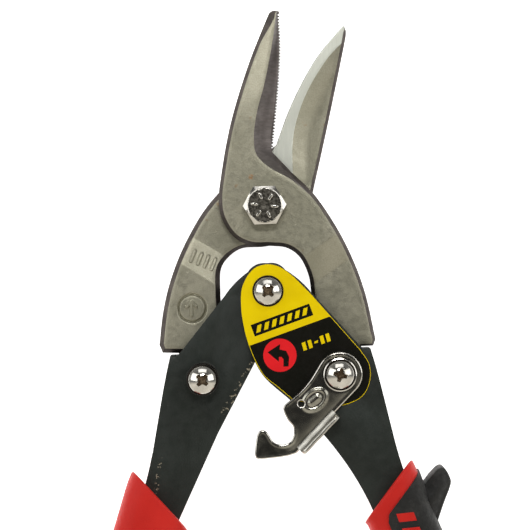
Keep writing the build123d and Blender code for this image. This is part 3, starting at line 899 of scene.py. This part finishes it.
def pivot_bolt(materials):
    """Hex head with a turned chamfer, six raised bars and its threaded end below."""
    node = "pivot_bolt"
    flats = 11.1
    thread_r, root_r, pitch, turns = 3.95, 3.6, 0.7, 10
    crown = high(node) - 0.25
    seat = BLADE_TOP
    end = low(node)
    disc = 5.05  # radius of the flat face inside the chamfer

    def bars(p):
        up = np.zeros(len(p))
        for k in range(6):
            a = math.radians(60 * k - 8)
            ray = np.array([math.cos(a), math.sin(a)])
            up += 1 - ramp(away(p, np.array([ray * 2.3, ray * 3.6])), 0.18, 0.5)
        return up

    def top(p):
        r = lengths(p)
        z = crown - 0.35 * ramp(r, disc - 0.15, disc + 0.1) - np.maximum(r - disc, 0) * 0.42
        return z + 0.25 * bars(p) - 0.12 * (1 - ramp(r, 0, 1.8))

    def paint(p):
        face = (lengths(p) < disc - 0.35) & (bars(p) < 0.4)
        return np.where(face, 1, 0)

    thread = []
    for k in range(turns):
        z = end + (turns - k) * pitch
        thread += [(thread_r, z), (root_r, z - pitch / 2)]
    below = [(5.3, seat), (thread_r, seat)] + thread + [(3.3, end)]
    turned(
        "pivot_bolt_chromed", "front_blade", node, MAIN, hex_reach(flats), top, seat + 0.3,
        materials, paint, below, rings=52,
    )


# ---- latch -----------------------------------------------------------------------------------
LATCH_T = 1.5
EMBOSS = np.array([12.5, -57.6])
EMBOSS_TURN = 37


def latch(material, dark, satin):
    """Stamped hook with a rounded rim, an embossed oval and a thumb tab; `dark`, a darker chrome, is its
    upper face, painted as a dark reflection.
    """
    boss_r = 6.6
    shape = [
        arc(RIGHT, boss_r, -44, 148, 0.4),
        smooth([
            (14.6, -47.0), (11.3, -51.9), (8.2, -55.2), (5.0, -57.7), (3.3, -59.2), (3.3, -60.6),
            (4.4, -63.3), (5.9, -65.3), (6.0, -67.6),
        ], 0.4),
        smooth([(6.0, -67.6), (4.9, -69.6), (2.4, -70.4), (0.1, -69.6), (-1.2, -67.6)], 0.4),
        smooth([
            (-1.2, -67.6), (-2.1, -66.3), (-3.4, -65.9), (-4.5, -66.7), (-5.4, -70.4), (-5.6, -73.0),
            (-5.2, -74.2), (-4.2, -74.4), (0.3, -74.2), (4.0, -73.8), (6.5, -73.2),
        ], 0.4),
        line((6.5, -73.2), (24.9, -55.1), step=0.5),
    ]
    tab_line = shape[-1]
    loop = closed(*shape)
    face = LATCH_BOTTOM + LATCH_T

    def emboss(p):
        """Raised oval ring round a long ridge, pressed up from below."""
        u, v = in_turned_axes(p - EMBOSS, EMBOSS_TURN)
        oval = np.sqrt((u / 4.3) ** 2 + (v / 2.9) ** 2)
        ring_up = 0.34 * np.exp(-((oval - 0.84) / 0.16) ** 2)
        ridge = 0.55 * np.exp(-((np.maximum(np.abs(u + 0.1) - 1.2, 0) / 1.2) ** 2 + (v / 1.2) ** 2))
        return ring_up + ridge

    def top(p):
        d = from_rim(p, loop)
        rim = 0.14 * (1 - ramp(d, 0.5, 1.1))
        sunk = 0.1 * (1 - ramp(lengths(p - RIGHT), 4.9, 5.3))
        to_tab = (1 - np.clip(away(p, tab_line) / 6.5, 0, 1)) ** 2
        return face - 0.16 + rim + emboss(p) - sunk - 0.75 * to_tab

    def bottom(p):
        return np.full(len(p), LATCH_BOTTOM)

    plate(
        "latch_pressing", "latch", "latch_hook", loop, top, bottom, [dark, material],
        step=0.42, edge=0.42, side=1, holes=[circle(RIGHT, BORE_R), circle((8.5, -58.6), 0.9, 0.25)],
        extra=[(EMBOSS, 4.6, 0.16)], sharp=50,
    )
    thumb_tab(satin)


def thumb_tab(material):
    """Flange bent up along the latch's lower edge, with rounded ends and a bend at its root."""
    start, end = np.array([18.3, -61.6]), np.array([7.6, -72.2])
    length = np.linalg.norm(end - start)
    run = (end - start) / length
    out = np.array([-run[1], run[0]])
    if out @ (start - RIGHT) < 0:
        out = -out
    thick, bend, corner = 1.15, 1.6, 1.4
    inner = bend - thick
    foot, face = LATCH_BOTTOM + 0.1, LATCH_BOTTOM + LATCH_T
    # the flange's section, as places out from the latch's edge and heights: the bend's underside, the
    # crest with heights below the tab's top, and the inner face
    turns = np.radians([0, 22, 45, 68, 90])
    root = [(-1.2, foot)] + [(-0.1 + bend * math.sin(a), foot + bend * (1 - math.cos(a))) for a in turns]
    crest = [(bend + 0.15, -0.35), (bend + 0.02, -0.08), (bend - 0.5, 0.0), (inner + 0.15, -0.12)]
    crest.append((inner, -0.4))
    inside_face = [(inner - 0.1, face + 0.7), (inner - 0.35, face + 0.12), (-1.2, face - 0.1)]
    near_end = np.array([0, 0.12, 0.4, 0.9])
    stations = np.concatenate([near_end, np.linspace(1.6, length - 1.6, 12), length - near_end[::-1]])
    verts, faces = [], []
    for s in stations:
        rounding = 1 - min(s, length - s, corner) / corner
        top = LATCH_TALL - corner * (1 - math.sqrt(max(0.0, 1 - rounding**2)))
        section = root + [(o, top + z) for o, z in crest] + inside_face
        ripple = 0.036 * math.sin(s * 1.1)
        for k, (o, z) in enumerate(section):
            plan = start + run * s + out * (o + (ripple if k >= 3 else 0))
            verts.append((plan[0], plan[1], z))
    n = len(section)
    last = len(stations) - 1
    for k in range(last):
        a, b = k * n, (k + 1) * n
        faces += [(a + i, a + (i + 1) % n, b + (i + 1) % n, b + i) for i in range(n)]
    faces += [tuple(range(n)), tuple(range(last * n, last * n + n))]
    make_piece("latch_thumb_tab", verts, faces, [material], "latch", "latch_hook", sharp=60)


# ---- label -----------------------------------------------------------------------------------
def label(yellow, black, red):
    """Printed film on the cover flange: yellow head, black body, generic bars, disc and arrow."""
    outline = closed(
        smooth([
            (12.5, -26.4), (6.4, -20.1), (3.0, -17.9), (0.0, -17.3), (-3.3, -18.1), (-5.4, -19.9),
            (-7.6, -23.9), (-8.1, -28.7), (-7.8, -33.5), (-6.2, -41.1), (-2.4, -49.7), (1.7, -53.5),
            (6.0, -57.4),
        ]),
        smooth([
            (6.0, -57.4), (13.0, -59.2), (20.0, -59.8), (26.6, -57.2), (29.0, -52.7), (29.0, -47.8),
            (26.6, -43.6),
        ]),
        line((26.6, -43.6), (12.5, -26.4)),
    )
    turn = 18
    inner = inset(outline, 0.21)
    division = (np.array([-6.7, -41.3]), np.array([18.1, -33.3]))
    box_at = np.array([3.8, -33.9])
    plaque = box(box_at, 18.3, 3.6, turn)
    along_box = np.array([math.cos(math.radians(turn)), math.sin(math.radians(turn))])
    bars = [box(box_at + along_box * k * 2.4, 1.3, 2.0, turn, lean=0.55) for k in (-3, -2, -1, 0, 1, 2, 3)]
    disc_at = np.array([2.8, -44.2])
    disc = circle(disc_at, 4.9)
    arrow_out = np.array([
        (-3.6, 1.0), (0.2, 3.3), (0.0, 1.7), (1.9, 1.2), (2.7, -0.6), (2.4, -3.4), (0.9, -3.4), (1.0, -1.2),
        (0.4, -0.5), (-0.3, -0.5), (-0.4, -1.9),
    ]) + disc_at
    dashes = [box((13.6 + along_box[0] * d, -40.7 + along_box[1] * d), 1.1, h, turn, 0.1)
              for d, h in ((-3.7, 2.4), (-1.9, 2.4), (0.0, 0.6), (1.9, 2.4), (3.7, 2.4))]

    def below_division(p):
        a, b = division
        return (b[0] - a[0]) * (p[:, 1] - a[1]) - (b[1] - a[1]) * (p[:, 0] - a[0]) < 0

    def paint(p):
        mark = np.where(inside(p, inner) & below_division(p), 1, 0)
        mark = np.where(inside(p, plaque), 1, mark)
        for b in bars + dashes:
            mark = np.where(inside(p, b), 0, mark)
        mark = np.where(inside(p, disc), 2, mark)
        return np.where(inside(p, arrow_out), 1, mark)

    def top(p):
        return np.full(len(p), high("cut_label"))

    def bottom(p):
        return np.full(len(p), low("cut_label"))

    seam = line(division[0] + (0.55, 0.18), division[1] - (0.6, 0.19))
    art = [ring(inner), seam, ring(plaque), ring(disc, 0.5), ring(arrow_out, 0.5)]
    art += [ring(b, 0.5) for b in bars + dashes]
    plate(
        "label_film", "right_handle", "cut_label", outline, top, bottom, [yellow, black, red],
        step=1.0, edge=0.05, features=art, paint=paint, holes=[circle(CENTRE, 3.4), circle(RIGHT, 3.4)],
        side=1,
    )


# ---- grips -----------------------------------------------------------------------------------
SHUT_TURN = math.radians(17.4)  # each handle swings in this far from rest when shut
SHUT_PIVOT = np.array([11.8, -53.1])
GRIP_MID = (GRIP_LOW + GRIP_HIGH) / 2
MOUTHS = {1: ((40.2, -75.6), (25.4, -94.2)), -1: ((41.8, -75.8), (26.2, -93.9))}  # right, left
FLARE = {1: 0.0, -1: 1.4}  # how much wider each grip is near its mouth
MOUTH_LEAN = 2.6  # how far the mouth's lower rim stands back from its upper rim
RUBBER = 0.55  # how far the rubber stands over the core
GRIP_POWER = 3.6  # how square the grips' rounded section is
GROOVED = (34, 104)  # the stations between which the rubber's outer side has grooves
GROOVE_DEPTH = 0.32


def at_rest(points):
    """Right handle points given with the handles shut, moved to where they are at rest."""
    d = np.array(points, float) - SHUT_PIVOT
    c, s = math.cos(SHUT_TURN), math.sin(SHUT_TURN)
    return [tuple(RIGHT + (x * c - y * s, x * s + y * c)) for x, y in d]


def even(run, count):
    """The run's points moved to `count` even places along it."""
    steps = np.concatenate([[0], np.cumsum(lengths(np.diff(run, axis=0)))])
    spots = np.linspace(0, steps[-1], count)
    return np.stack([np.interp(spots, steps, run[:, k]) for k in (0, 1)], 1)


def grip_stations(side, count=120):
    """Matching points down a grip's inner and outer sides; side is 1 for the right one, -1 for the left."""
    mouth_out, mouth_in = MOUTHS[side]
    inner = smooth([mouth_in] + at_rest([
        (4.2, -96.5), (5.4, -110), (8.6, -130), (9.8, -150), (8.8, -170), (8.9, -182), (11.6, -188.5),
        (17.2, -191.4),
    ]), 0.8)
    outer = smooth([mouth_out] + at_rest([
        (23.9 + FLARE[side], -88.0), (24.4 + FLARE[side], -106), (27.4, -127), (30.0, -148),
        (29.6, -168), (26.8, -182), (23.2, -188.5), (18.0, -191.4),
    ]), 0.8)
    return even(inner, count), even(outer, count)


def grip_shell(side, around=96):
    """Rounded moulded grip as a bmesh: its outer skin, its mouth's rim and the socket inside."""
    inner, outer = grip_stations(side)
    bm = bmesh.new()
    rings = []
    half_tall = (GRIP_HIGH - GRIP_LOW) / 2 - RUBBER
    turn = np.arange(around) * 2 * math.pi / around
    power = 2 / GRIP_POWER
    cos_p = np.sign(np.cos(turn)) * np.abs(np.cos(turn)) ** power
    sin_p = np.sign(np.sin(turn)) * np.abs(np.sin(turn)) ** power

    back = (inner[12] - inner[0]) / np.linalg.norm(inner[12] - inner[0])

    def station(a, b, tall, shrink=0.0, lean=0.0):
        middle, half = (a + b) / 2, (b - a) / 2
        size = np.linalg.norm(half)
        share = max(size - shrink, 0.05) / size
        plan = middle + np.outer(cos_p * share, half) + np.outer((1 - sin_p) / 2 * lean, back)
        return np.column_stack([side * plan[:, 0], plan[:, 1], GRIP_MID + sin_p * (tall - shrink)])

    socket = ((0.8, 5.0), (0.8, 1.9), (0.5, 1.5), (0.1, 1.3), (0.0, 0.9), (0.15, 0.4), (0.5, 0.1))
    for depth, shrink in socket:
        a = inner[0] + (inner[1] - inner[0]) * depth
        b = outer[0] + (outer[1] - outer[0]) * depth
        rings.append(station(a, b, half_tall, shrink, MOUTH_LEAN))
    for k in range(1, len(inner)):
        left_over = (len(inner) - 1 - k) / 8
        tall = half_tall * math.sqrt(max(0.02, 1 - max(0.0, 1 - left_over) ** 2))
        belly = 1 - 0.06 * ramp(k, 8, 30) + 0.06 * ramp(k, 70, 100)
        if np.linalg.norm(outer[k] - inner[k]) > 0.4:
            lean = MOUTH_LEAN * (1 - float(ramp(k, 0, 9)))
            rings.append(station(inner[k], outer[k], tall * belly, 0.0, lean))
    grid = [[bm.verts.new(tuple(v * MM)) for v in r] for r in rings]
    for a, b in zip(grid, grid[1:]):
        for i in range(around):
            j = (i + 1) % around
            bm.faces.new((a[i], a[j], b[j], b[i]))
    bm.faces.new(grid[0])
    bm.faces.new(grid[-1])
    bmesh.ops.recalc_face_normals(bm, faces=bm.faces)
    return bm


def cut_along(bm, corners, side):
    """Adds edges where vertical planes through the corners' lines meet the mesh."""
    for a, b in zip(corners, corners[1:]):
        a, b = np.array(a, float) * (side, 1), np.array(b, float) * (side, 1)
        normal = (b[1] - a[1], a[0] - b[0], 0)
        whole = bm.verts[:] + bm.edges[:] + bm.faces[:]
        bmesh.ops.bisect_plane(bm, geom=whole, plane_co=(a[0] * MM, a[1] * MM, 0), plane_no=normal)


def mesh_object(name, bm, materials):
    mesh = bpy.data.meshes.new(name)
    bm.to_mesh(mesh)
    bm.free()
    for m in materials:
        mesh.materials.append(m)
    return add_object(name, mesh)


def right_grip_height(p):
    """Height of the right grip's upper skin over plan points."""
    inner, outer = grip_stations(1)
    middle = (inner + outer) / 2
    half = (outer - inner) / 2
    size = lengths(half)
    nearest = np.argmin(np.linalg.norm(p[:, None] - middle[None], axis=2), axis=1)
    u = np.sum((p - middle[nearest]) * half[nearest], axis=1) / size[nearest] ** 2
    tall = (GRIP_HIGH - GRIP_LOW) / 2 - RUBBER
    return GRIP_MID + tall * (1 - np.abs(np.clip(u, -0.98, 0.98)) ** GRIP_POWER) ** (1 / GRIP_POWER)


def baked(piece):
    """Replaces the piece's mesh by what its modifiers make of it."""
    graph = bpy.context.evaluated_depsgraph_get()
    mesh = bpy.data.meshes.new_from_object(piece.evaluated_get(graph))
    piece.modifiers.clear()
    piece.data = mesh


def rubber_skin(name, side, body, node, corners, region, material):
    """The part of the grip's skin over a plan region, thickened into a grooved rubber overmould."""
    bm = grip_shell(side)
    cut_along(bm, corners, side)
    shape = np.array(region, float) * (side, 1)
    drop = []
    for f in bm.faces:
        middle = np.array([f.calc_center_median()[:2]]) / MM
        mouth = len(f.verts) > 20 and middle[0, 1] > -120
        if mouth or not inside(middle, shape)[0]:
            drop.append(f)
    bmesh.ops.delete(bm, geom=drop, context="FACES")
    bm.normal_update()
    inner, outer = grip_stations(side)
    for v in bm.verts:
        p = np.array([side * v.co.x, v.co.y]) / MM
        k = np.argmin(lengths((inner + outer) / 2 - p))
        groove = max(0.0, math.cos(k * 0.9)) ** 6 if GROOVED[0] < k < GROOVED[1] else 0.0
        beside = ramp(np.linalg.norm(p - outer[k]), 6.0, 4.0)
        v.co -= v.normal * GROOVE_DEPTH * groove * float(beside) * MM
    piece = mesh_object(name, bm, [material])
    thick = piece.modifiers.new("skin", "SOLIDIFY")
    thick.thickness = RUBBER * MM
    thick.offset = 1.0
    baked(piece)
    finish_piece(piece, body, node, 50)


def red_core(name, side, body, node, material):
    """Moulded core. The left one has a shallow rounded panel pressed into its faces."""
    bm = grip_shell(side)
    panel_depth = 0.5
    panel = np.array([(37.0, -96.0), (42.5, -96.0), (47.5, -110.0), (42.5, -110.0)])
    panel = inset(closed(ring(panel, 1.0)), 0.5)
    for v in bm.verts:
        p = np.array([[side * v.co.x, v.co.y]]) / MM
        if side < 0 and inside(p, panel)[0]:
            deep = ramp(from_rim(p, panel)[0], 0, 1.2)
            v.co.z -= math.copysign(panel_depth, v.co.z / MM - GRIP_MID) * float(deep) * MM
    piece = mesh_object(name, bm, [material])
    finish_piece(piece, body, node, 50)


def thumb_guard(material):
    """Rubber stop that stands out from the right grip, with a softly rounded edge."""
    loop = closed(
        smooth([(41.0, -83.0), (43.4, -84.2), (46.2, -81.4), (48.4, -79.4), (49.8, -79.2), (51.8, -83.0),
                (51.6, -84.6), (49.6, -89.4), (47.0, -96.2)], 0.5),
        line((47.0, -96.2), (44.0, -97.0), (41.0, -90.0), (41.0, -83.0)),
    )
    half = (high("right_grip_overmould") - low("right_grip_overmould")) / 3

    def crown(p):
        edge_in = from_rim(p, loop)
        return half - 3.4 * (1 - np.clip(edge_in / 5.0, 0, 1)) ** 2

    plate(
        "right_grip_guard", "right_handle", "right_grip_overmould", loop,
        lambda p: GRIP_MID + crown(p), lambda p: GRIP_MID - crown(p), [material], step=0.7, edge=0.9,
    )


def grip_bars(material):
    """Row of slanted red bars moulded into the right grip's upper and outer faces."""
    first = np.array([37.9, -92.7])
    run = np.array([0.33, -0.944])
    turn = math.degrees(math.atan2(run[1], run[0]))
    for k in range(4):
        loop = box(first + run * 4.6 * k, 2.6, 5.0, turn, lean=0.7)
        plate(
            f"right_grip_bar_{k}", "right_handle", "right_grip_overmould",
            closed(ring(loop, 0.6)), lambda p: right_grip_height(p) + RUBBER + 0.06,
            lambda p: right_grip_height(p) - 0.2, [material], step=0.6, edge=0.06,
        )


def grips(red, rubber):
    red_core("right_grip_body", 1, "right_handle", "right_grip_core", red)
    collar = [(45.2, -76.5), (32.9, -91.7), (32.7, -94.2), (36.2, -104.0), (22.0, -116.0)]
    region = collar + [(10, -250), (120, -250), (120, -76.5)]
    rubber_skin("right_grip_skin", 1, "right_handle", "right_grip_overmould", collar, region, rubber)
    thumb_guard(rubber)
    grip_bars(red)
    red_core("left_grip_body", -1, "left_handle", "left_grip_core", red)
    inlay = [(70, -99.0), (40.5, -99.0), (46.0, -122.0), (60.0, -160.0), (100, -160.0)]
    rubber_skin("left_grip_skin", -1, "left_handle", "left_grip_overmould", inlay, inlay, rubber)


# ---- handles ---------------------------------------------------------------------------------
def handles(paint):
    """Pressed channels with rounded bends along the web."""
    outer = at_rest([(25.6, -168), (25.2, -150), (22.6, -120)])
    outer = smooth(outer + [(37.4, -77.7), (31.2, -49.8), (29.5, -43.2)], 0.3)
    for side, name in ((1, "right"), (-1, "left")):
        cad_copy(
            f"{name}_handle_pressing", f"{name}_handle", f"{name}_handle_channel", paint,
            0.2, folds=[outer * (side, 1)], fold_edge=1.9,
        )


def dress_cad(materials):
    """Materials for the CAD nodes that show as they are."""
    for node, material in materials.items():
        mesh = nodes[node].data
        for k in range(len(mesh.materials)):
            mesh.materials[k] = material
        if not mesh.materials:
            mesh.materials.append(material)


# ---- stage -----------------------------------------------------------------------------------
def floor():
    mesh = bpy.data.meshes.new("floor")
    bm = bmesh.new()
    bmesh.ops.create_grid(bm, x_segments=8, y_segments=8, size=1.5)
    bm.to_mesh(mesh)
    bm.free()
    m = Nodes("pale_floor")
    m.colour(m.mix(m.noise(8, 2), tint(246, 246, 245), tint(250, 250, 249)))
    m.set(Roughness=0.9, Emission_Strength=0.98)
    m.shader.inputs["Emission Color"].default_value = (1, 1, 1, 1)
    mesh.materials.append(m.material)
    piece = add_object("floor", mesh)
    piece.location.z = (min(low("pivot_bolt"), GRIP_LOW) - 0.3) * MM


def softbox(name, place, size, power, colour, aim):
    lamp = bpy.data.lights.new(name, "AREA")
    lamp.shape = "RECTANGLE"
    lamp.size, lamp.size_y = size
    lamp.energy = power
    lamp.color = colour
    piece = add_object(name, lamp)
    piece.location = place
    piece.visible_camera = False
    piece.rotation_euler = (Vector(aim) - Vector(place)).to_track_quat("-Z", "Y").to_euler()


def sky_ramp(tree, height, stops):
    node = tree.nodes.new("ShaderNodeValToRGB")
    tree.links.new(height, node.inputs[0])
    elements = node.color_ramp.elements
    for k, (position, colour) in enumerate(stops):
        stop = elements[k] if k < 2 else elements.new(position)
        stop.position, stop.color = position, (*colour, 1)
    return node.outputs["Color"]


def studio():
    """Softboxes in a dim room, a warm pale board below the object, darkness behind the lens."""
    world = bpy.data.worlds.new("studio_room")
    bpy.context.scene.world = world
    world.use_nodes = True
    tree = world.node_tree
    place = tree.nodes.new("ShaderNodeTexCoord")
    parts = tree.nodes.new("ShaderNodeSeparateXYZ")
    tree.links.new(place.outputs["Generated"], parts.inputs[0])
    # colours by height: 0 is level with the object and 1 is straight up
    dark = (0.04, 0.04, 0.04)
    room = [(0.0, (0.26, 0.26, 0.25)), (1.0, dark), (0.5, (0.16, 0.16, 0.155)), (0.85, (0.09, 0.09, 0.09))]
    board = [(0.0, (0.95, 0.90, 0.80)), (1.0, dark), (0.88, (0.90, 0.85, 0.76)), (0.95, (0.2, 0.19, 0.17))]
    towards_board = tree.nodes.new("ShaderNodeMapRange")
    for key, v in (("From Min", -0.12), ("From Max", -0.38), ("To Min", 0.0), ("To Max", 1.0)):
        towards_board.inputs[key].default_value = v
    tree.links.new(parts.outputs["Y"], towards_board.inputs["Value"])
    mix = tree.nodes.new("ShaderNodeMix")
    mix.data_type = "RGBA"
    tree.links.new(towards_board.outputs["Result"], mix.inputs["Factor"])
    sockets = [s for s in mix.inputs if s.type == "RGBA"]
    tree.links.new(sky_ramp(tree, parts.outputs["Z"], room), sockets[0])
    tree.links.new(sky_ramp(tree, parts.outputs["Z"], board), sockets[1])
    result = [s for s in mix.outputs if s.type == "RGBA"][0]
    tree.links.new(result, tree.nodes["Background"].inputs["Color"])
    softbox("left_softbox", (-0.55, 0.15, 0.45), (0.5, 0.6), 1.8, (1, 1, 0.98), (0, 0, 0))
    softbox("right_softbox", (0.55, 0.10, 0.45), (0.4, 0.5), 1.35, (1, 0.99, 0.97), (0, 0, 0))
    softbox("top_softbox", (0.0, 0.50, 0.35), (0.5, 0.25), 0.6, (1, 1, 1), (0, 0.03, 0))
    softbox("tip_softbox", (0.0, 0.33, 0.62), (0.25, 0.1), 1.4, (1, 0.99, 0.96), (0, 0.05, 0))
    bpy.context.scene.view_settings.view_transform = "Standard"


def camera():
    """Straight above, with the picture's upward direction a little off the Y axis."""
    aim = Vector((*LENS, 17.0)) * MM
    far = 0.7
    field = 0.1563
    lens = bpy.data.cameras.new("camera")
    lens.sensor_width = 36
    lens.lens = lens.sensor_width * far / field
    lens.clip_start, lens.clip_end = 0.05, 10
    piece = add_object("camera", lens)
    piece.location = aim + Vector((0, 0, far))
    piece.rotation_euler = (0, 0, -math.atan2(0.0384, 0.9993))
    bpy.context.scene.camera = piece


# ---- everything ------------------------------------------------------------------------------
steel, sides = blasted_steel(), shaded_side_steel()
# the dim chrome is a darker copy of the chrome, a painted dark reflection on the latch's upper face
bright, dim = chrome("bright_chrome"), chrome("painted_shade_chrome", 0.16, 0.02, (158, 156, 146))
# the third finish is a painted shade ring round the screw heads' rims
screw_finish = [bright, tarnish_and_shade("recess_tarnish", (128, 112, 92), (88, 74, 58)),
                tarnish_and_shade("rim_painted_shade", (50, 46, 40), (34, 31, 27))]
plated, paint, red, rubber = zinc(), worn_paint(), red_plastic(), black_rubber()
front_blade(steel, sides, shaded_bevel_steel())
rear_blade(steel, sides, ground_steel())
pivot_bolt([bright, tarnish_and_shade("bolt_face", (104, 101, 94), (54, 52, 47))])
dome_screw("centre_screw_chromed", "right_handle", "centre_pivot_screw", CENTRE, 45, 0, screw_finish)
dome_screw("left_screw_chromed", "left_handle", "left_pivot_screw", LEFT, 47, 0, screw_finish)
dome_screw("right_screw_chromed", "right_handle", "right_pivot_screw", RIGHT, -16, 0.6, screw_finish)
latch(bright, dim, chrome("tab_chrome", 0.28, 0.03, (200, 198, 190)))
label(
    film("label_yellow", (232, 204, 4), (222, 192, 3)), film("label_black", (18, 18, 13), (23, 22, 18)),
    film("label_red", (226, 36, 42), (216, 32, 38)),
)
handles(paint)
grips(red, rubber)
dress_cad({
    "pivot_washer": plated, "pivot_lock_nut": plated, "right_pivot_barrel": plated,
    "left_pivot_barrel": plated, "centre_pivot_barrel": plated, "right_pivot_spacers": plated,
    "latch_spring_washer": bright, "latch_post": bright, "return_spring": spring_wire(),
})
floor()
studio()
camera()
